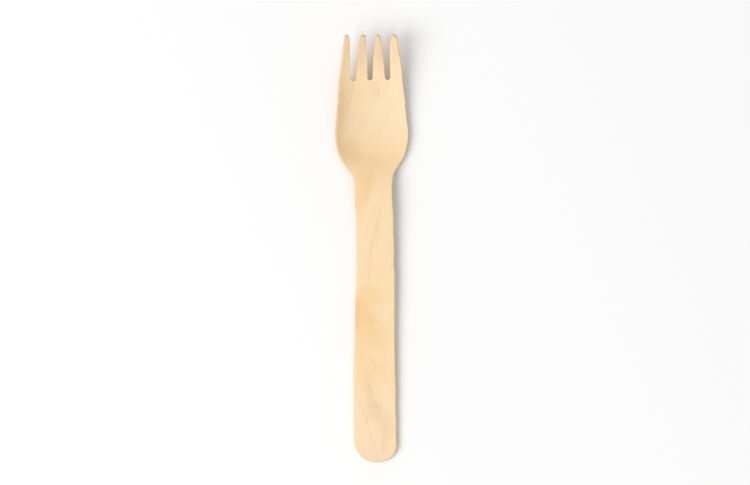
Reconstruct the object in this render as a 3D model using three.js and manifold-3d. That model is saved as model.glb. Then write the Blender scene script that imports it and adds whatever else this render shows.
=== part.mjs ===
// A disposable fork: one sheet of birch veneer, cut out with a die and pressed to its dished form.
// Lengths are millimetres. X runs across the fork, Y along it with the tines at +Y, and Z is up.
// The fork lies on its back, on the end of its handle and the belly of its bowl.
// The origin is the bottom centre of its box.
import * as THREE from "three";
import Module from "manifold-3d";
import { mergeVertices } from "three/addons/utils/BufferGeometryUtils.js";

const { degToRad, smoothstep, clamp } = THREE.MathUtils;

// Driving dimensions
const LENGTH = 160;
const THICKNESS = 1.8;
const HEAD_WIDTH = 27.35;
const HANDLE_DRIFT = 1.3; // the handle stands this far to the right of the head's middle
const END_RADIUS = 8.08; // the round end of the handle
const END_SQUARENESS = 2.35; // 2 would be a true half circle
const END_SKEW = 0.6; // the lowest point of the end stands this far to the right of the handle's middle
const EDGE_EASE = 0.28; // the tumbled edges, as a bevel this wide at the top and the bottom

// The two long edges, which aren't mirror images of each other.
// Each row: distance from the end of the handle, then the left and right edge from the head's middle.
const EDGES = [
  [END_RADIUS, HANDLE_DRIFT - END_RADIUS, HANDLE_DRIFT + END_RADIUS],
  [23, -6.92, 9.18],
  [38, -6.75, 8.84],
  [50, -6.4, 8.73],
  [60.5, -6.25, 8.71],
  [68, -5.95, 8.74],
  [81, -5.85, 8.47],
  [92, -5.95, 8.2],
  [98, -6.38, 7.84],
  [102, -6.42, 7.7],
  [105.6, -6.82, 7.8],
  [107.5, -7.35, 8.1],
  [109.3, -8.7, 8.8],
  [111.2, -10, 9.9],
  [113.1, -11.3, 11.22],
  [116.8, -12.75, 12.75],
  [120, -13.4, 13.45],
  [123.5, -HEAD_WIDTH / 2, HEAD_WIDTH / 2],
  [128, -13.33, 13.25],
  [135.5, -12.85, 12.5],
  [143, -12.3, 11.55],
  [150.5, -11.22, 10.7],
  [156.4, -10.62, 9.6],
];

// The slots between the tines, left to right: middle and radius of the round root, and how deep it lies.
const SLOTS = [
  { x: -7.12, radius: 1.14, depth: 16.8 },
  { x: -0.78, radius: 0.96, depth: 16.5 },
  { x: 5.86, radius: 1.0, depth: 16.4 },
];

// The tips of the tines, left to right, with the square and chipped corners that the die left.
// Each point: across from the head's middle, then the distance below the longest tip.
// A tip runs from its right shoulder over the top to its left one.
const TIPS = [
  [[-8.42, 3.6], [-8.6, 0.8], [-8.95, 0.35], [-9.95, 0.35], [-10.2, 0.6], [-10.3, 3], [-10.6, 3.9]],
  [[-1.78, 9.5], [-2.3, 5.2], [-2.35, 0.5], [-2.6, 0.12], [-3.9, 0.3], [-4.4, 0.8], [-4.88, 4.6]],
  [[4.35, 9.2], [3.7, 4.6], [3.2, 1.2], [2.8, 0.3], [1.75, 0.05], [1.45, 0.4], [1.1, 4.3], [0.45, 8.2]],
  [[9.75, 2.9], [9.1, 0.8], [8.55, 0.1], [7.75, 0], [7.05, 0.8], [6.55, 4], [6.6, 8.4]],
];

// The pressed form along the fork: distance from the end of the handle, then height.
const PROFILE = [
  [0, 0],
  [40, 0.88],
  [80, 1.76],
  [94, 2.3],
  [101, 2.65],
  [105, 2.45],
  [109.5, 1.5],
  [114, 0.62],
  [118.5, 0.27],
  [122, 0.24],
  [128, 0.5],
  [135.5, 1.4],
  [143, 2.85],
  [151, 5.1],
  [160, 7.9],
];

// The dish of the head. Its left flank curls up higher than its right one.
const LEFT_RISE = 2.6;
const RIGHT_RISE = 1.0;
const DISH_POWER = 2.2; // how much steeper the flanks get towards the edge
const DISH_START = 104; // where the flat handle begins to curl, from the end of the handle
const DISH_FULL = 119;

// The veneer has wound a little: the head leans to the right and the handle to the left.
const HEAD_LEAN = degToRad(1.5);
const HANDLE_LEAN = degToRad(-0.5);
const LEAN_START = 88;
const LEAN_FULL = 118;

// Fineness of the mesh
const CELL = 2.5; // longest step along the outline and across the sheet
const ARC_STEPS = 8;
const END_STEPS = 16;
const BEND_STEP = 0.05; // step that the slope of the form is taken over
const BEVEL_OVERRUN = 0.08; // the bevel runs on past the face of the sheet, so that it cuts it cleanly
const DIE_REACH = 7; // how far the die runs on above and below the sheet
const BLANK_MARGIN = 4; // how far the uncut sheet reaches past the fork on each side
const SHARPEST_TURN = 0.7; // keeps the inset of a sharp corner short
const MERGE_TOLERANCE = 1e-4;

const WOOD = new THREE.MeshStandardMaterial({ color: 0xf2d5a6, roughness: 0.62, metalness: 0 });

const wasm = await Module();
wasm.setup();

// A smooth curve through rows of [distance, value...], as a function of the distance.
function through(rows, column) {
  const last = rows.length - 1;
  const slope = (i) => {
    const before = rows[Math.max(i - 1, 0)];
    const after = rows[Math.min(i + 1, last)];
    return (after[column] - before[column]) / (after[0] - before[0]);
  };
  return (distance) => {
    const found = rows.findIndex((row) => row[0] > distance);
    const i = found < 0 ? last - 1 : Math.max(found - 1, 0);
    const span = rows[i + 1][0] - rows[i][0];
    const t = clamp((distance - rows[i][0]) / span, 0, 1);
    const from = rows[i][column];
    const to = rows[i + 1][column];
    const bend = t * t * (3 - 2 * t);
    const leave = t * (1 - t) * (1 - t) * span * slope(i);
    const arrive = t * t * (t - 1) * span * slope(i + 1);
    return from + (to - from) * bend + leave + arrive;
  };
}

const leftEdge = through(EDGES, 1);
const rightEdge = through(EDGES, 2);
const height = through(PROFILE, 1);

// Height of the pressed sheet's middle at a point of the plan.
function form(x, y) {
  const dish = (x < 0 ? LEFT_RISE : RIGHT_RISE) * smoothstep(y, DISH_START, DISH_FULL);
  const rim = Math.pow(Math.abs(x) / (HEAD_WIDTH / 2), DISH_POWER);
  const lean = HANDLE_LEAN + (HEAD_LEAN - HANDLE_LEAN) * smoothstep(y, LEAN_START, LEAN_FULL);
  return height(y) + dish * rim - Math.tan(lean) * x;
}

// The point that a point of the flat veneer is pressed to, h above the sheet's middle along its normal.
function press(x, y, h) {
  const alongX = (form(x + BEND_STEP, y) - form(x - BEND_STEP, y)) / (2 * BEND_STEP);
  const alongY = (form(x, y + BEND_STEP) - form(x, y - BEND_STEP)) / (2 * BEND_STEP);
  const normal = new THREE.Vector3(-alongX, -alongY, 1).normalize();
  return normal.multiplyScalar(h).add(new THREE.Vector3(x, y, form(x, y)));
}

// The end of the handle in plan, from its left side round to its right one.
function handleEnd() {
  const points = [];
  for (let i = 0; i <= END_STEPS; i++) {
    const angle = Math.PI * (1 + i / END_STEPS);
    const side = Math.sign(Math.cos(angle));
    const across = side * Math.pow(Math.abs(Math.cos(angle)), 2 / END_SQUARENESS);
    const down = Math.pow(Math.abs(Math.sin(angle)), 2 / END_SQUARENESS);
    const x = HANDLE_DRIFT + END_RADIUS * across + END_SKEW * down;
    points.push(new THREE.Vector2(x, END_RADIUS * (1 - down)));
  }
  return points;
}

// The outline in plan, anticlockwise from the left side of the handle's round end.
function outline() {
  const points = handleEnd();
  const top = LENGTH - TIPS.at(-1)[0][1];
  const steps = Math.ceil((top - END_RADIUS) / CELL);
  for (let i = 1; i < steps; i++) {
    const y = END_RADIUS + ((top - END_RADIUS) * i) / steps;
    points.push(new THREE.Vector2(rightEdge(y), y));
  }
  for (let i = TIPS.length - 1; i >= 0; i--) {
    points.push(...TIPS[i].map(([x, drop]) => new THREE.Vector2(x, LENGTH - drop)));
    if (i > 0) {
      const { x, radius, depth } = SLOTS[i - 1];
      const root = new THREE.Path();
      root.absarc(x, LENGTH - depth + radius, radius, 0, -Math.PI, true);
      points.push(...root.getPoints(ARC_STEPS));
    }
  }
  const shoulder = LENGTH - TIPS[0].at(-1)[1];
  for (let i = steps - 1; i > 0; i--) {
    const y = END_RADIUS + ((shoulder - END_RADIUS) * i) / steps;
    points.push(new THREE.Vector2(leftEdge(y), y));
  }
  return points;
}

// The same closed outline with no side longer than a cell.
function divided(points) {
  const out = [];
  points.forEach((from, i) => {
    const to = points[(i + 1) % points.length];
    const parts = Math.ceil(from.distanceTo(to) / CELL);
    for (let k = 0; k < parts; k++) {
      out.push(from.clone().lerp(to, k / parts));
    }
  });
  return out;
}

// The outline moved inwards, along the mean of the normals of the two sides at each point.
function inset(points, distance) {
  return points.map((point, i) => {
    const before = points[(i + points.length - 1) % points.length];
    const after = points[(i + 1) % points.length];
    const arriving = point.clone().sub(before).normalize();
    const leaving = after.clone().sub(point).normalize();
    const along = arriving.add(leaving).normalize();
    const half = Math.max(Math.abs(along.dot(leaving)), SHARPEST_TURN);
    return new THREE.Vector2(point.x - (along.y * distance) / half, point.y + (along.x * distance) / half);
  });
}

// A closed body through rings of points that lie one above the other, capped at both ends.
function stacked(rings, cap) {
  const count = cap.length;
  const index = [];
  for (let ring = 0; ring + 1 < rings.length; ring++) {
    for (let i = 0; i < count; i++) {
      const a = ring * count + i;
      const b = ring * count + ((i + 1) % count);
      index.push(a, b, b + count, a, b + count, a + count);
    }
  }
  const top = (rings.length - 1) * count;
  for (const [a, b, c] of THREE.ShapeUtils.triangulateShape(cap, [])) {
    index.push(a, c, b, top + a, top + b, top + c);
  }
  const places = rings.flat().flatMap((point) => point.toArray());
  const geometry = new THREE.BufferGeometry();
  geometry.setAttribute("position", new THREE.Float32BufferAttribute(places, 3));
  geometry.setIndex(index);
  return geometry;
}

// What the die cuts out: a tall body on the outline, waisted to bevel the edges of the sheet.
function dieCut() {
  const blank = divided(outline());
  const narrowed = inset(blank, EDGE_EASE + BEVEL_OVERRUN);
  const ring = (points, h) => points.map((p) => press(p.x, p.y, h));
  const far = (points, h, side) => points.map((p) => {
    const at = press(p.x, p.y, h);
    return at.setZ(at.z + side * DIE_REACH);
  });
  const half = THICKNESS / 2;
  const rings = [
    far(narrowed, -half - BEVEL_OVERRUN, -1),
    ring(narrowed, -half - BEVEL_OVERRUN),
    ring(blank, -half + EDGE_EASE),
    ring(blank, half - EDGE_EASE),
    ring(narrowed, half + BEVEL_OVERRUN),
    far(narrowed, half + BEVEL_OVERRUN, 1),
  ];
  return stacked(rings, narrowed);
}

// The whole sheet, pressed: a grid of cells on each face.
function pressedSheet() {
  const width = HEAD_WIDTH + 2 * BLANK_MARGIN;
  const length = LENGTH + 2 * BLANK_MARGIN;
  const across = Math.round(width / CELL);
  const along = Math.round(length / CELL);
  const geometry = new THREE.BoxGeometry(width, length, THICKNESS, across, along, 1);
  const position = geometry.getAttribute("position");
  for (let i = 0; i < position.count; i++) {
    const at = press(position.getX(i), position.getY(i) + LENGTH / 2, position.getZ(i));
    position.setXYZ(i, at.x, at.y, at.z);
  }
  return geometry;
}

function solid(geometry) {
  geometry.deleteAttribute("normal");
  geometry.deleteAttribute("uv");
  const merged = mergeVertices(geometry, MERGE_TOLERANCE);
  const vertProperties = merged.getAttribute("position").array;
  const triVerts = new Uint32Array(merged.getIndex().array);
  return new wasm.Manifold(new wasm.Mesh({ numProp: 3, vertProperties, triVerts }));
}

function geometryOf(manifold) {
  const { vertProperties, triVerts } = manifold.getMesh();
  const geometry = new THREE.BufferGeometry();
  geometry.setAttribute("position", new THREE.BufferAttribute(vertProperties, 3));
  geometry.setIndex(new THREE.BufferAttribute(triVerts, 1));
  return geometry;
}

// Moves the geometry so that the bottom centre of its box is the origin.
function setDown(geometry) {
  geometry.computeBoundingBox();
  const box = geometry.boundingBox;
  const middle = box.getCenter(new THREE.Vector3());
  return geometry.translate(-middle.x, -middle.y, -box.min.z);
}

const fork = new THREE.Mesh(setDown(geometryOf(solid(pressedSheet()).intersect(solid(dieCut())))), WOOD);
fork.name = "fork";

const part = new THREE.Group();
part.add(fork);

export default part;
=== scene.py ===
import math

import bpy
import numpy as np
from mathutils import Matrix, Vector
from mathutils.geometry import delaunay_2d_cdt


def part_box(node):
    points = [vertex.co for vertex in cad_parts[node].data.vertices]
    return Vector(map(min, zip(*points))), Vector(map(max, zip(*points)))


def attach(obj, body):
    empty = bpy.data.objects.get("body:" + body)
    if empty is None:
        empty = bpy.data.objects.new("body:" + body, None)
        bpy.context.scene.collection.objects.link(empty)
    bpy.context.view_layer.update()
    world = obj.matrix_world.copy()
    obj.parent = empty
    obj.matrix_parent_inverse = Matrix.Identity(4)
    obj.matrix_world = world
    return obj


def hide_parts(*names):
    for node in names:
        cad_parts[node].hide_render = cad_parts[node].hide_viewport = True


MM = 0.001

# Driving dimensions, the same as the part's
LENGTH = 160
THICKNESS = 1.8
HEAD_WIDTH = 27.35
HANDLE_DRIFT = 1.3  # the handle stands this far to the right of the head's middle
END_RADIUS = 8.08  # the round end of the handle
END_SQUARENESS = 2.35  # 2 would be a true half circle
END_SKEW = 0.6  # the lowest point of the end stands this far to the right of the handle's middle

# The two long edges: distance from the end of the handle, then left and right edge from the head's middle
EDGES = [
    (END_RADIUS, HANDLE_DRIFT - END_RADIUS, HANDLE_DRIFT + END_RADIUS),
    (23, -6.92, 9.18),
    (38, -6.75, 8.84),
    (50, -6.4, 8.73),
    (60.5, -6.25, 8.71),
    (68, -5.95, 8.74),
    (81, -5.85, 8.47),
    (92, -5.95, 8.2),
    (98, -6.38, 7.84),
    (102, -6.42, 7.7),
    (105.6, -6.82, 7.8),
    (107.5, -7.35, 8.1),
    (109.3, -8.7, 8.8),
    (111.2, -10, 9.9),
    (113.1, -11.3, 11.22),
    (116.8, -12.75, 12.75),
    (120, -13.4, 13.45),
    (123.5, -HEAD_WIDTH / 2, HEAD_WIDTH / 2),
    (128, -13.33, 13.25),
    (135.5, -12.85, 12.5),
    (143, -12.3, 11.55),
    (150.5, -11.22, 10.7),
    (156.4, -10.62, 9.6),
]

# The slots between the tines, left to right: middle, radius of the round root,
# and depth below the longest tip
SLOTS = [(-7.12, 1.14, 16.8), (-0.78, 0.96, 16.5), (5.86, 1.0, 16.4)]

# The tips of the tines, left to right, each from its right shoulder over the top to its left one:
# across from the head's middle, then the distance below the longest tip
TIPS = [
    [(-8.42, 3.6), (-8.6, 0.8), (-8.95, 0.35), (-9.95, 0.35), (-10.2, 0.6), (-10.3, 3), (-10.6, 3.9)],
    [(-1.78, 9.5), (-2.3, 5.2), (-2.35, 0.5), (-2.6, 0.12), (-3.9, 0.3), (-4.4, 0.8), (-4.88, 4.6)],
    [(4.35, 9.2), (3.7, 4.6), (3.2, 1.2), (2.8, 0.3), (1.75, 0.05), (1.45, 0.4), (1.1, 4.3), (0.45, 8.2)],
    [(9.75, 2.9), (9.1, 0.8), (8.55, 0.1), (7.75, 0), (7.05, 0.8), (6.55, 4), (6.6, 8.4)],
]

# The pressed form along the fork: distance from the end of the handle, then height
PROFILE = [
    (0, 0),
    (40, 0.88),
    (80, 1.76),
    (94, 2.3),
    (101, 2.65),
    (105, 2.45),
    (109.5, 1.5),
    (114, 0.62),
    (118.5, 0.27),
    (122, 0.24),
    (128, 0.5),
    (135.5, 1.4),
    (143, 2.85),
    (151, 5.1),
    (160, 7.9),
]

# The dish of the head. Its left flank curls up higher than its right one.
LEFT_RISE = 2.6
RIGHT_RISE = 1.0
DISH_POWER = 2.2  # how much steeper the flanks get towards the edge
DISH_START = 104  # where the flat handle begins to curl, from the end of the handle
DISH_FULL = 119

# The veneer has wound a little: the head leans to the right and the handle to the left
HEAD_LEAN = math.radians(1.5)
HANDLE_LEAN = math.radians(-0.5)
LEAN_START = 88
LEAN_FULL = 118

# What only the dressed fork has: rounded edges, small nicks and a slightly ragged cut.
# The radius of the upper edge: distance from the end of the handle, then the radius
UPPER_ROUNDS = [(DISH_START, 0.55), (DISH_FULL, 0.18), (157.5, 0.18), (159.3, 0.42)]
LOWER_ROUND = 0.42
WORN_PASSES = 2  # how often the corners of the outline are smoothed
CUT_ONSET = 2.5  # how soon the colour of the cut wall starts on the rounded edge

# Fineness of the mesh
OUTLINE_STEP = 0.3
ARC_STEPS = 14
END_STEPS = 56
ROUND_STEPS = 5
WALL_STEPS = 4
GRID_STEP = 0.6
GRID_CLEARANCE = 0.6  # how far the grid keeps from the outline, in its own steps
BEND_STEP = 0.05  # step that the slope of the form is taken over
WELD = 1e-6
INSIDE_TRIANGLES = 1  # what the triangulation gives back

# Small steps that the die left in the long edges: side, distance from the end of the handle where the
# step is, its depth, and how far along it takes to run out, towards the tines if positive
NICKS = [
    (1, 153, 0.25, 4),
    (1, 134.5, 0.15, -9),
    (1, 84.6, 0.15, 7),
    (1, 72.8, 0.36, 7),
    (1, 49.7, 0.16, -6),
    (1, 21.8, 0.2, -9),
    (-1, 134.2, 0.28, 10),
    (-1, 95.8, 0.2, -9),
    (-1, 63.9, 0.24, 5),
]
EDGE_REACH = 0.6  # what lies within this of a long edge's curve is that edge
RAGGED = 0.035  # how far the cut wanders to each side
RAGGED_WAVES = (1.7, 2.9, 5.3, 11)  # the lengths of its waves
RAGGED_PHASE = 1.3  # from each wave to the next, in radians

# The wood, in linear colours: the ground, then what its patches and lines multiply it by; two of these tints
# also paint shade
BIRCH = (1.0, 0.755, 0.46, 1)
# painted shade for the head's left flank, which faces away from the lamp
LEFT_FLANK_SHADE = (0.9, 0.865, 0.81)
# painted shade where the neck falls into the bowl, away from the lamp; on the handle it is brown in the wood
BROWN_AND_RAMP_SHADE = (0.93, 0.88, 0.83)
ORANGE = (0.96, 0.87, 0.72)
ROSE = (0.9, 0.85, 0.88)
PALE = (0.98, 1.03, 1.12)
GROWTH = (0.9, 0.84, 0.76)
SPLIT = (0.8, 0.66, 0.52)
FIGURE = (0.97, 0.945, 0.91, 1)
FIBRE = (0.965, 0.95, 0.93, 1)
PORE = (0.93, 0.89, 0.84, 1)
CUT = (0.88, 0.865, 0.86, 1)
END_GRAIN = (0.84, 0.83, 0.8, 1)

# The sockets of a colour mix
MIX_SHARE, MIX_A, MIX_B, MIX_RESULT = 0, 6, 7, 2

# Soft patches in the veneer, and painted shade on the head's left flank and on the fall from the neck into
# the bowl: across and along from the fork's middle, half width and half length, turn from the fork's length
# in degrees anticlockwise, the tint at their middle and how much of it
PATCHES = [
    # painted shade: the head's left flank, which faces away from the lamp
    ((-13.2, 50), (5.4, 26), -6, LEFT_FLANK_SHADE, 1.0),
    ((-10.4, 56), (3, 9), -16, LEFT_FLANK_SHADE, 0.2),
    ((-9.8, 76), (3, 11), 0, ROSE, 0.6),
    # painted shade: the fall from the neck into the bowl, which faces away from the lamp
    ((-9, 36.5), (7.5, 8), 0, BROWN_AND_RAMP_SHADE, 0.75),
    ((-2.5, 33.5), (9, 5), 0, BROWN_AND_RAMP_SHADE, 0.5),
    ((2, 37), (13, 9), 0, ORANGE, 0.25),
    ((-11, 37), (3.5, 6), 30, ORANGE, 0.35),
    ((8.4, 33), (4, 6), -30, ORANGE, 0.3),
    ((12, 39.6), (2.5, 4.5), 0, ORANGE, 0.4),
    ((2.2, 31.5), (5, 4.5), 0, ROSE, 0.2),
    ((-3.5, 27), (8, 7), 0, ORANGE, 0.35),
    ((-4.4, 19), (4.2, 12), -25, ORANGE, 0.75),
    ((-1, 21.4), (1.3, 5), -15, ROSE, 0.3),
    ((0, -8), (9, 4), 0, ORANGE, 0.2),
    ((-2, -17.5), (8, 5.5), 0, ORANGE, 0.55),
    ((3, -18.5), (6, 5), 0, ORANGE, 0.2),
    ((-3.4, -22.6), (4.4, 10), 48, ORANGE, 0.8),
    ((-5.6, -25), (1.8, 9), 0, BROWN_AND_RAMP_SHADE, 0.8),
    ((-1.2, -30.5), (8, 13), 50, ORANGE, 0.75),
    ((-4.5, -37), (4.5, 6), 0, ORANGE, 0.4),
    ((0, -45), (10, 11), 0, ORANGE, 0.3),
    ((-1.3, -52), (2.6, 5), 12, BROWN_AND_RAMP_SHADE, 0.4),
    ((0.6, -59), (3.8, 9), 16, ROSE, 0.6),
    ((-5.6, -61), (3.2, 14), 10, PALE, 0.5),
    ((5.4, -56), (3.2, 10), 14, PALE, 0.6),
    ((5.2, -66.5), (4.2, 8), 6, ROSE, 0.55),
    ((0, -66), (11, 22), 0, PALE, 0.5),
    ((1.5, -77), (10, 8), 0, PALE, 0.5),
    ((1.5, -77.5), (11, 8), 0, ROSE, 0.35),
    ((2.5, 55), (12, 22), -15, PALE, 0.3),
    ((10, 52), (7.5, 23), -10, PALE, 0.6),
    ((6, 59), (5, 11), -20, PALE, 0.5),
    ((1.2, 60), (3, 7), 10, ROSE, 0.3),
    ((-3.7, 77), (3.2, 15), 0, ROSE, 0.95),
    ((3, 75), (3, 13), 0, ROSE, 0.9),
    ((7.9, 76), (3, 11), 0, ROSE, 0.5),
]

# Fine lines and flecks of growth, and the split at a root, as the patches are
LINES = [
    ((-6.9, 61.2), (0.3, 3), 2, SPLIT, 0.35),
    ((-7.7, 57.6), (0.9, 5), -13, GROWTH, 0.42),
    ((-8.9, 52.5), (1, 5), -14, GROWTH, 0.32),
    ((-3.6, 59), (0.5, 3), -10, GROWTH, 0.25),
    ((2.8, 60), (0.6, 4), -8, GROWTH, 0.3),
    ((3.1, 15), (0.8, 4.5), -15, GROWTH, 0.3),
    ((1.75, 9), (1.1, 5.5), -10, GROWTH, 0.5),
    ((0.3, 2.4), (0.8, 4.5), -20, GROWTH, 0.45),
    ((-0.5, -2.4), (0.8, 4.5), -3, GROWTH, 0.5),
    ((-1, -8.8), (0.8, 5.5), -5, GROWTH, 0.35),
    ((0.5, -42.2), (0.6, 3.6), 26, GROWTH, 0.5),
    ((-2.9, -61), (0.6, 8.5), 16, GROWTH, 0.2),
    ((-0.4, -69), (0.6, 4.5), 24, GROWTH, 0.2),
    ((-0.9, -52), (1, 4.5), 15, GROWTH, 0.35),
    ((1.6, -58.6), (0.6, 2.2), 5, GROWTH, 0.5),
    ((3.3, -59.3), (0.7, 2.8), 5, GROWTH, 0.5),
    ((-1.8, -64.8), (0.6, 2.6), 12, GROWTH, 0.5),
    ((2.3, -63.3), (0.5, 2.3), 5, GROWTH, 0.5),
    ((-0.6, -70), (0.6, 2.4), 8, GROWTH, 0.5),
    ((4.0, -73.4), (0.35, 5.5), 2, GROWTH, 0.9),
    ((4.7, -74), (0.35, 2.6), 2, GROWTH, 0.7),
    ((5.8, -73.8), (0.35, 2.4), 2, GROWTH, 0.7),
    ((0.8, -58.7), (0.5, 1.6), 4, PALE, 0.5),
    ((1.7, -64.8), (0.6, 2.2), 4, PALE, 0.55),
    ((-4.1, -60.5), (0.6, 4), 9, PALE, 0.5),
]

PATCH_CORE = 0.2  # out to this share of its size a patch has its full strength
THROUGH = 1000  # half depth of a patch: it goes right through the veneer

# How the patches' edges are ruffled: waves in a millimetre, and how far across and along
RUFFLE_SCALE = 0.16
RUFFLE_DETAIL = 3.0
RUFFLE_REACH = (2.5, 6, 0)

# Where the figure shows as slanting streaks: a patch as above, then how it slants and how much of it
FLAMES = [
    ((0, -56), (10, 26), 0, 25, 0.6),
    ((0, 14), (10, 24), 0, -14, 0.6),
    ((2, 50), (15, 26), 0, -24, 0.5),
]

# Streaks of grain: width and length, levels of detail, and which stretch of the noise is used
FLAME_GRAIN = ((1.5, 15), 2, 5)
FIBRE_GRAIN = ((0.2, 8), 3, 11)
PORE_GRAIN = ((0.09, 0.9), 2, 17)
SEED_STRIDE = 7
STREAK_ROUGHNESS = 0.55
FIBRE_TURN = 1  # degrees from the fork's length
PORE_TURN = -1

# From which to which value of the noise they come in, and of the normal for end grain
FLAME_RANGE = (0.4, 0.7)
FIBRE_RANGE = (0.35, 0.7)
PORE_RANGE = (0.64, 0.76)
END_GRAIN_RANGE = (0.5, 0.85)

SURFACE_ROUGHNESS = (0.55, 0.72)
RELIEF_STRENGTH = 0.35
RELIEF_DEPTH = 0.04

# The camera looks straight down. The photograph is 750 x 485.
FRAME_WIDTH = 750
PIXEL = 0.3768  # what one pixel covers on the table
CAMERA_HEIGHT = 700
CAMERA_AT = (1.16, 2.57)
CLIP_END = 10  # metres
SENSOR = 36

# The light and the table, in metres. The key's azimuth is anticlockwise from +X.
KEY_AZIMUTH = math.radians(205)
KEY_ELEVATION = math.radians(45)
KEY_DISTANCE = 3
KEY_SIZE = 2.4
KEY_LEVEL = 0.47  # what the key adds to a level white surface, where 1 is white
FILL = 0.58
FLOOR_HALF = 2
FLOOR_BOUNCE = 0.8  # how much light the table throws back at the fork


def through(rows, column):
    """A smooth curve through rows of (distance, value...), as a function of the distance."""
    at = np.array([row[0] for row in rows], float)
    value = np.array([row[column] for row in rows], float)
    slope = np.empty_like(at)
    slope[1:-1] = (value[2:] - value[:-2]) / (at[2:] - at[:-2])
    slope[0] = (value[1] - value[0]) / (at[1] - at[0])
    slope[-1] = (value[-1] - value[-2]) / (at[-1] - at[-2])

    def curve(distance):
        i = np.clip(np.searchsorted(at, distance, side="right") - 1, 0, len(at) - 2)
        span = at[i + 1] - at[i]
        t = np.clip((distance - at[i]) / span, 0, 1)
        bend = t * t * (3 - 2 * t)
        leave = t * (1 - t) ** 2 * span * slope[i]
        arrive = t * t * (t - 1) * span * slope[i + 1]
        return value[i] + (value[i + 1] - value[i]) * bend + leave + arrive

    return curve


left_edge = through(EDGES, 1)
right_edge = through(EDGES, 2)
height = through(PROFILE, 1)


def smoothstep(x, low, high):
    """0 below low, rising softly to 1 above high."""
    t = np.clip((x - low) / (high - low), 0, 1)
    return t * t * (3 - 2 * t)


def form(x, y):
    """Height of the pressed sheet's middle at a point of the plan."""
    dish = np.where(x < 0, LEFT_RISE, RIGHT_RISE) * smoothstep(y, DISH_START, DISH_FULL)
    rim = (np.abs(x) / (HEAD_WIDTH / 2)) ** DISH_POWER
    lean = HANDLE_LEAN + (HEAD_LEAN - HANDLE_LEAN) * smoothstep(y, LEAN_START, LEAN_FULL)
    return height(y) + dish * rim - np.tan(lean) * x


def press(plan, h):
    """Where points of the flat veneer are pressed to, h above the sheet's middle along its normal."""
    x, y = plan[:, 0], plan[:, 1]
    along_x = (form(x + BEND_STEP, y) - form(x - BEND_STEP, y)) / (2 * BEND_STEP)
    along_y = (form(x, y + BEND_STEP) - form(x, y - BEND_STEP)) / (2 * BEND_STEP)
    normal = np.stack([-along_x, -along_y, np.ones_like(x)], 1)
    normal /= np.linalg.norm(normal, axis=1)[:, None]
    return np.stack([x, y, form(x, y)], 1) + h * normal


def arc(middle, radius, start, end, steps):
    """Points of an arc in plan, from the angle start to the angle end."""
    angles = np.linspace(start, end, steps + 1)
    return [(middle[0] + radius * math.cos(a), middle[1] + radius * math.sin(a)) for a in angles]


def handle_end():
    """The end of the handle in plan, from its left side round to its right one."""
    points = []
    for angle in np.linspace(math.pi, 2 * math.pi, END_STEPS + 1):
        across = math.copysign(abs(math.cos(angle)) ** (2 / END_SQUARENESS), math.cos(angle))
        down = abs(math.sin(angle)) ** (2 / END_SQUARENESS)
        x = HANDLE_DRIFT + END_RADIUS * across + END_SKEW * down
        points.append((x, END_RADIUS * (1 - down)))
    return points


def outline():
    """The closed outline in plan, anticlockwise from the left side of the handle's round end."""
    points = handle_end()
    top = LENGTH - TIPS[-1][0][1]
    for y in np.arange(END_RADIUS + OUTLINE_STEP, top, OUTLINE_STEP):
        points.append((float(right_edge(y)), y))
    for i in range(len(TIPS) - 1, -1, -1):
        points += [(x, LENGTH - drop) for x, drop in TIPS[i]]
        if i:
            middle, radius, depth = SLOTS[i - 1]
            points += arc((middle, LENGTH - depth + radius), radius, 0, -math.pi, ARC_STEPS)
    shoulder = LENGTH - TIPS[0][-1][1]
    for y in np.arange(shoulder - OUTLINE_STEP, END_RADIUS, -OUTLINE_STEP):
        points.append((float(left_edge(y)), y))
    return np.array(points)


def evenly(points, step):
    """The same closed line, with points at even distances along it."""
    closed = np.vstack([points, points[:1]])
    lengths = np.linalg.norm(np.diff(closed, axis=0), axis=1)
    run = np.concatenate([[0], np.cumsum(lengths)])
    count = int(round(run[-1] / step))
    at = np.arange(count) * run[-1] / count
    return np.stack([np.interp(at, run, closed[:, 0]), np.interp(at, run, closed[:, 1])], 1)


def worn(points):
    """The closed line with the nicks in its long edges and the slight wander of the cut."""
    inside = inward(points)
    along = points[:, 1]
    depth = np.zeros(len(points))
    for side, station, deepest, fade in NICKS:
        edge = right_edge(along) if side > 0 else left_edge(along)
        past = (along - station) / fade
        there = (past >= 0) & (past < 1) & (np.abs(points[:, 0] - edge) < EDGE_REACH)
        depth += np.where(there, deepest * (1 - past) ** 2, 0)
    run = np.arange(len(points)) * OUTLINE_STEP
    for k, wave in enumerate(RAGGED_WAVES):
        turns = round(run[-1] / wave)
        depth += RAGGED / 2 * np.sin(2 * math.pi * turns * run / run[-1] + RAGGED_PHASE * k)
    return points + inside * depth[:, None]


def relaxed(points, passes):
    """The closed line with its corners worn round."""
    for _ in range(passes):
        points = (np.roll(points, 1, 0) + 2 * points + np.roll(points, -1, 0)) / 4
    return points


def inward(points):
    """The unit normal of the closed line at each point, towards the wood."""
    along = np.roll(points, -1, 0) - np.roll(points, 1, 0)
    along /= np.linalg.norm(along, axis=1)[:, None]
    return np.stack([-along[:, 1], along[:, 0]], 1)


def rounded(radius):
    """Inset, height above the sheet's middle and depth into the edge of each ring of a rounded edge,
    from the face of the sheet to its wall, where radius is one for each point of the outline."""
    rings = []
    for angle in np.linspace(0, math.pi / 2, ROUND_STEPS + 1):
        depth = math.sin(angle)
        rings.append((radius * (1 - depth), THICKNESS / 2 - radius * (1 - math.cos(angle)), depth))
    return rings


def edge_sections(line):
    """The rings of the whole edge of the outline, from the top face down to the bottom one."""
    upper = rounded(np.interp(line[:, 1], *zip(*UPPER_ROUNDS)))
    lower = rounded(np.full(len(line), LOWER_ROUND))
    lower = [(inset, -h, depth) for inset, h, depth in reversed(lower)]
    top, bottom = upper[-1][1], lower[0][1]
    walls = [(0 * top, top + (bottom - top) * k / WALL_STEPS, 1) for k in range(1, WALL_STEPS)]
    return upper + walls + lower


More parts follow.
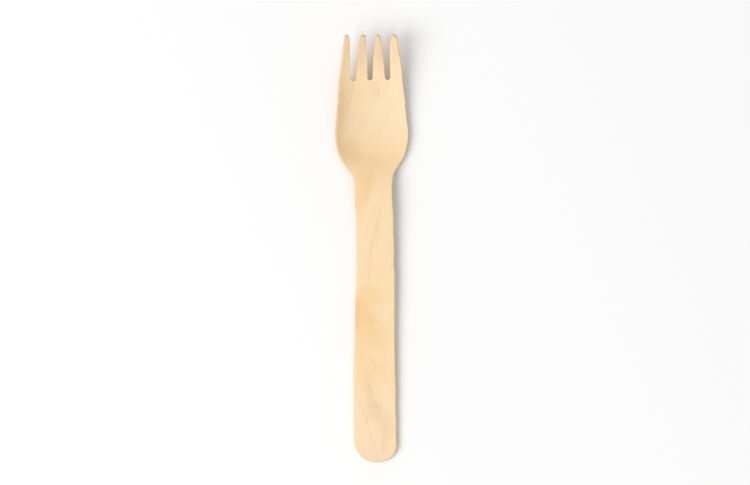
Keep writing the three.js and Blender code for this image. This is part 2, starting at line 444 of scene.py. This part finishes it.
def face_cells(rim):
    """Triangles over the area inside a closed line: returns the plan points and the triangles.
    The first points are those of the line, in order."""
    low, high = rim.min(0), rim.max(0)
    rows = np.arange(low[1], high[1], GRID_STEP * math.sqrt(3) / 2)
    grid = []
    for k, y in enumerate(rows):
        xs = np.arange(low[0] + (k % 2) * GRID_STEP / 2, high[0], GRID_STEP)
        grid.append(np.stack([xs, np.full_like(xs, y)], 1))
    grid = np.vstack(grid)
    near = np.full(len(grid), np.inf)
    for point in rim:
        near = np.minimum(near, ((grid - point) ** 2).sum(1))
    grid = grid[near > (GRID_CLEARANCE * GRID_STEP) ** 2]
    count = len(rim)
    points = [Vector(p) for p in np.vstack([rim, grid])]
    sides = [(i, (i + 1) % count) for i in range(count)]
    area = [list(range(count))]
    out, _, faces, origins, _, _ = delaunay_2d_cdt(points, sides, area, INSIDE_TRIANGLES, WELD)
    index = {}
    plan = [tuple(p) for p in rim]
    for i, origin in enumerate(origins):
        on_rim = [o for o in origin if o < count]
        if on_rim:
            index[i] = on_rim[0]
    cells = []
    for face in faces:
        for i in face:
            if i not in index:
                index[i] = len(plan)
                plan.append(tuple(out[i]))
        cells.append([index[i] for i in face])
    return np.array(plan), cells


def fork_mesh():
    """The dressed fork: both faces, and between them the rings of its edge."""
    line = worn(relaxed(evenly(outline(), OUTLINE_STEP), WORN_PASSES))
    normal = inward(line)
    sections = edge_sections(line)
    rings = [press(line + normal * inset[:, None], h[:, None]) for inset, h, _ in sections]
    count = len(line)
    plan, cells = face_cells(line + normal * sections[0][0][:, None])
    inner = plan[count:]
    verts = np.vstack(rings + [press(inner, THICKNESS / 2), press(inner, -THICKNESS / 2)])
    faces = []
    for ring in range(len(rings) - 1):
        for i in range(count):
            a, b = ring * count + i, ring * count + (i + 1) % count
            faces.append((a, a + count, b + count, b))
    upper_start = len(rings) * count
    lower_start = upper_start + len(inner)
    last_ring = (len(rings) - 1) * count
    for cell in cells:
        faces.append([i if i < count else upper_start + i - count for i in cell])
        faces.append([last_ring + i if i < count else lower_start + i - count for i in reversed(cell)])
    mesh = bpy.data.meshes.new("birch_fork")
    mesh.from_pydata((verts * MM).tolist(), [], faces)
    cut = np.zeros(len(verts))
    for ring, (_, _, depth) in enumerate(sections):
        cut[ring * count:(ring + 1) * count] = min(1, CUT_ONSET * depth)
    mesh.attributes.new("cut", "FLOAT", "POINT").data.foreach_set("value", cut)
    mesh.shade_smooth()
    return mesh


def set_in_place(mesh, node):
    """Moves the mesh so that the bottom centre of its box is that of the node's."""
    co = np.zeros(len(mesh.vertices) * 3)
    mesh.vertices.foreach_get("co", co)
    co = co.reshape(-1, 3)
    low, high = (np.array(corner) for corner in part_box(node))
    target = np.array([(low[0] + high[0]) / 2, (low[1] + high[1]) / 2, low[2]])
    middle = (co.min(0) + co.max(0)) / 2
    co += target - np.array([middle[0], middle[1], co[:, 2].min()])
    mesh.vertices.foreach_set("co", co.ravel())
    mesh.update()


def add(tree, kind, inputs=(), **settings):
    """A shader node with its settings. inputs gives, for each socket, a value or the output that feeds it."""
    node = tree.nodes.new("ShaderNode" + kind)
    for name, value in settings.items():
        setattr(node, name, value)
    for socket, value in dict(inputs).items():
        if isinstance(value, bpy.types.NodeSocket):
            tree.links.new(value, node.inputs[socket])
        else:
            node.inputs[socket].default_value = value
    return node


def math_node(tree, operation, a, b=0.0):
    """The output of a sum, product or other operation on one or two values."""
    return add(tree, "Math", {0: a, 1: b}, operation=operation).outputs[0]


def ramp_up(tree, value, low, high, top=1.0):
    """0 below low, rising softly to top above high. Falls instead where low is the larger."""
    inputs = {"Value": value, "From Min": low, "From Max": high, "To Min": 0.0, "To Max": top}
    if low > high:
        inputs = {"Value": value, "From Min": high, "From Max": low, "To Min": top, "To Max": 0.0}
    return add(tree, "MapRange", inputs, interpolation_type="SMOOTHSTEP").outputs[0]


def tinted(tree, colour, tint, share=1.0):
    """The colour times the tint, where share is 1."""
    inputs = {MIX_SHARE: share, MIX_A: colour, MIX_B: tint}
    mix = add(tree, "Mix", inputs, data_type="RGBA", blend_type="MULTIPLY", clamp_result=False)
    return mix.outputs[MIX_RESULT]


def patch(tree, place, middle, size, turn, strength):
    """The strength in the middle of an ellipse, falling softly to 0 at its edge."""
    inputs = {
        "Vector": place,
        "Location": (middle[0], middle[1], 0),
        "Rotation": (0, 0, math.radians(turn)),
        "Scale": (size[0], size[1], THROUGH),
    }
    local = add(tree, "Mapping", inputs, vector_type="TEXTURE").outputs[0]
    distance = add(tree, "VectorMath", {0: local}, operation="LENGTH").outputs["Value"]
    return ramp_up(tree, distance, 1, PATCH_CORE, strength)


def streaks(tree, place, turn, size, detail, seed):
    """Noise drawn out along the grain, which is turned from the fork's length."""
    inputs = {
        "Vector": place,
        "Location": (seed, SEED_STRIDE * seed, 0),
        "Rotation": (0, 0, math.radians(turn)),
        "Scale": (size[0], size[1], size[0]),
    }
    local = add(tree, "Mapping", inputs, vector_type="TEXTURE").outputs[0]
    inputs = {"Vector": local, "Scale": 1.0, "Detail": detail, "Roughness": STREAK_ROUGHNESS}
    return add(tree, "TexNoise", inputs).outputs["Fac"]


def wood():
    """Rotary-cut birch: a pale ground with soft patches, some of them painted shade on the head, slanting
    flames, fibres and fine dark pores.
    """
    material = bpy.data.materials.new("birch_veneer")
    material.use_nodes = True
    tree = material.node_tree
    shader = tree.nodes["Principled BSDF"]
    coordinates = add(tree, "TexCoord")
    metres = {0: coordinates.outputs["Object"], "Scale": 1 / MM}
    place = add(tree, "VectorMath", metres, operation="SCALE").outputs[0]
    normal = add(tree, "SeparateXYZ", {0: coordinates.outputs["Normal"]})
    endways = math_node(tree, "ABSOLUTE", normal.outputs["Y"])

    # Soft patches, their edges ruffled, some of them painted shade on the head, and thin lines of growth
    noise = {"Vector": place, "Scale": RUFFLE_SCALE, "Detail": RUFFLE_DETAIL}
    ruffle = add(tree, "TexNoise", noise).outputs["Color"]
    centred = add(tree, "VectorMath", {0: ruffle, 1: (0.5, 0.5, 0.5)}, operation="SUBTRACT").outputs[0]
    shift = add(tree, "VectorMath", {0: centred, 1: RUFFLE_REACH}, operation="MULTIPLY").outputs[0]
    ruffled = add(tree, "VectorMath", {0: place, 1: shift}).outputs[0]
    colour = BIRCH
    for vector, rows in ((ruffled, PATCHES), (place, LINES)):
        for middle, size, turn, tint, strength in rows:
            colour = tinted(tree, colour, (*tint, 1), patch(tree, vector, middle, size, turn, strength))

    # The figure, the fibres and the pores
    grain, detail, seed = FLAME_GRAIN
    for k, (middle, size, turn, slant, strength) in enumerate(FLAMES):
        figure = ramp_up(tree, streaks(tree, place, slant, grain, detail, seed + k), *FLAME_RANGE)
        share = math_node(tree, "MULTIPLY", figure, patch(tree, place, middle, size, turn, strength))
        colour = tinted(tree, colour, FIGURE, share)
    fibres = streaks(tree, place, FIBRE_TURN, *FIBRE_GRAIN)
    colour = tinted(tree, colour, FIBRE, ramp_up(tree, fibres, *FIBRE_RANGE))
    pores = ramp_up(tree, streaks(tree, place, PORE_TURN, *PORE_GRAIN), *PORE_RANGE)
    colour = tinted(tree, colour, PORE, pores)

    # The cut walls, and end grain
    wall = add(tree, "Attribute", attribute_name="cut").outputs["Fac"]
    colour = tinted(tree, colour, CUT, wall)
    end_grain = math_node(tree, "MULTIPLY", ramp_up(tree, endways, *END_GRAIN_RANGE), wall)
    colour = tinted(tree, colour, END_GRAIN, end_grain)
    tree.links.new(colour, shader.inputs["Base Color"])

    # The sheen and the fine relief of the fibres
    smoothest, roughest = SURFACE_ROUGHNESS
    roughness = add(tree, "MapRange", {"Value": fibres, "To Min": smoothest, "To Max": roughest})
    tree.links.new(roughness.outputs[0], shader.inputs["Roughness"])
    relief = math_node(tree, "SUBTRACT", fibres, pores)
    inputs = {"Height": relief, "Strength": RELIEF_STRENGTH, "Distance": RELIEF_DEPTH * MM}
    bump = add(tree, "Bump", inputs)
    tree.links.new(bump.outputs[0], shader.inputs["Normal"])
    return material


def two_sided(tree, kind, output, lit, seen):
    """One shader for the camera and another for what lights the fork, each given by its inputs."""
    tree.nodes.clear()
    rays = add(tree, "LightPath").outputs["Is Camera Ray"]
    shaders = [add(tree, kind, inputs).outputs[0] for inputs in (lit, seen)]
    mix = add(tree, "MixShader", {0: rays, 1: shaders[0], 2: shaders[1]})
    add(tree, output, {"Surface": mix.outputs[0]})


def grey(level):
    """An opaque grey in linear light."""
    return (level, level, level, 1)


def floor():
    """The white table. It throws less light back at the fork than the camera sees."""
    mesh = bpy.data.meshes.new("floor")
    half = FLOOR_HALF
    corners = [(-half, -half, 0), (half, -half, 0), (half, half, 0), (-half, half, 0)]
    mesh.from_pydata(corners, [], [(0, 1, 2, 3)])
    material = bpy.data.materials.new("white_surface")
    material.use_nodes = True
    lit, seen = {"Color": grey(FLOOR_BOUNCE)}, {"Color": grey(1)}
    two_sided(material.node_tree, "BsdfDiffuse", "OutputMaterial", lit, seen)
    mesh.materials.append(material)
    piece = bpy.data.objects.new("floor", mesh)
    bpy.context.scene.collection.objects.link(piece)


def studio():
    """White all round. It lights the fork less than the camera sees."""
    world = bpy.data.worlds.new("studio")
    bpy.context.scene.world = world
    world.use_nodes = True
    lit, seen = {"Color": grey(1), "Strength": FILL}, {"Color": grey(1), "Strength": 1}
    two_sided(world.node_tree, "Background", "OutputWorld", lit, seen)


def key_light():
    """A large soft lamp on the left, a little towards the handle."""
    lamp = bpy.data.lights.new("key", "AREA")
    lamp.shape = "DISK"
    lamp.size = KEY_SIZE
    lamp.energy = KEY_LEVEL * (math.pi * KEY_DISTANCE) ** 2 / math.sin(KEY_ELEVATION)
    piece = bpy.data.objects.new("key", lamp)
    towards = Vector((
        math.cos(KEY_AZIMUTH) * math.cos(KEY_ELEVATION),
        math.sin(KEY_AZIMUTH) * math.cos(KEY_ELEVATION),
        math.sin(KEY_ELEVATION),
    ))
    piece.location = towards * KEY_DISTANCE
    piece.rotation_euler = towards.to_track_quat("Z", "Y").to_euler()
    bpy.context.scene.collection.objects.link(piece)


def camera():
    """Straight down on the table, with the tines at the top of the picture."""
    lens = bpy.data.cameras.new("camera")
    lens.sensor_width = SENSOR
    lens.lens = SENSOR * CAMERA_HEIGHT / (FRAME_WIDTH * PIXEL)
    lens.clip_end = CLIP_END
    piece = bpy.data.objects.new("camera", lens)
    piece.location = (CAMERA_AT[0] * MM, CAMERA_AT[1] * MM, CAMERA_HEIGHT * MM)
    bpy.context.scene.collection.objects.link(piece)
    bpy.context.scene.camera = piece


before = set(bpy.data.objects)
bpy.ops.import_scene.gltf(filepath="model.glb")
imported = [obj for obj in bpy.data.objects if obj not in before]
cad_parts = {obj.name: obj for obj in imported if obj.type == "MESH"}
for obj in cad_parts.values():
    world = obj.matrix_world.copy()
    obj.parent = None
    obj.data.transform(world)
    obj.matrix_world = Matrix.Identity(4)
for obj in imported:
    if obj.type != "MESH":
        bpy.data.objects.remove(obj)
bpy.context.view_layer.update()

bpy.context.scene.view_settings.view_transform = "Standard"
camera()
studio()
key_light()
floor()

mesh = fork_mesh()
set_in_place(mesh, "fork")
mesh.materials.append(wood())
fork = bpy.data.objects.new("birch_fork", mesh)
bpy.context.scene.collection.objects.link(fork)
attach(fork, "root")
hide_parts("fork")
